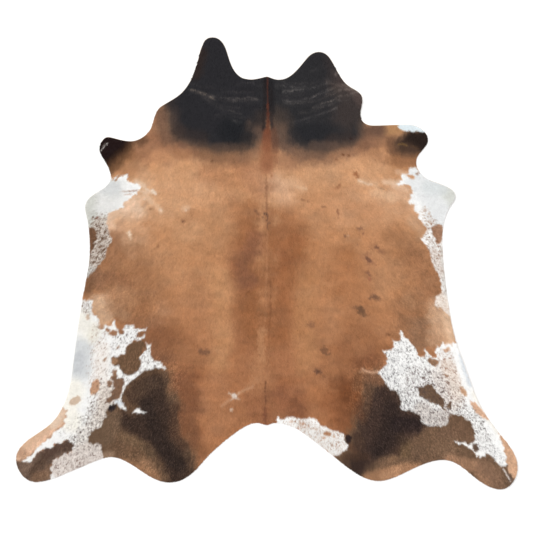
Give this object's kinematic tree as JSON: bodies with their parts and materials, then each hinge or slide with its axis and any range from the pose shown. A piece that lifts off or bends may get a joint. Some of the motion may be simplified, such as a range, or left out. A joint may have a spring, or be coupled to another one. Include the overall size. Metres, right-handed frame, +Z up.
{
  "type": "cowhide rug",
  "caption": "Flat rug made of one whole tanned hide with the hair on, in the animal's outline: neck, forelegs, belly edges, hind legs and tail arch.",
  "frame": {"origin": "on the floor, at the middle of the rug's bounding box", "axes": "+X across the rug towards the animal's right side, +Y along the spine towards the neck, +Z up out of the hair"},
  "size_m": [2.304, 2.08, 0.0173],
  "materials": {
    "hair_on_leather": "short glossy hair lying flat on soft leather, tan with white flanks, a black neck and dark hind quarters"
  },
  "bodies": {
    "root": {"hide": "hair_on_leather"}
  },
  "joints": []
}
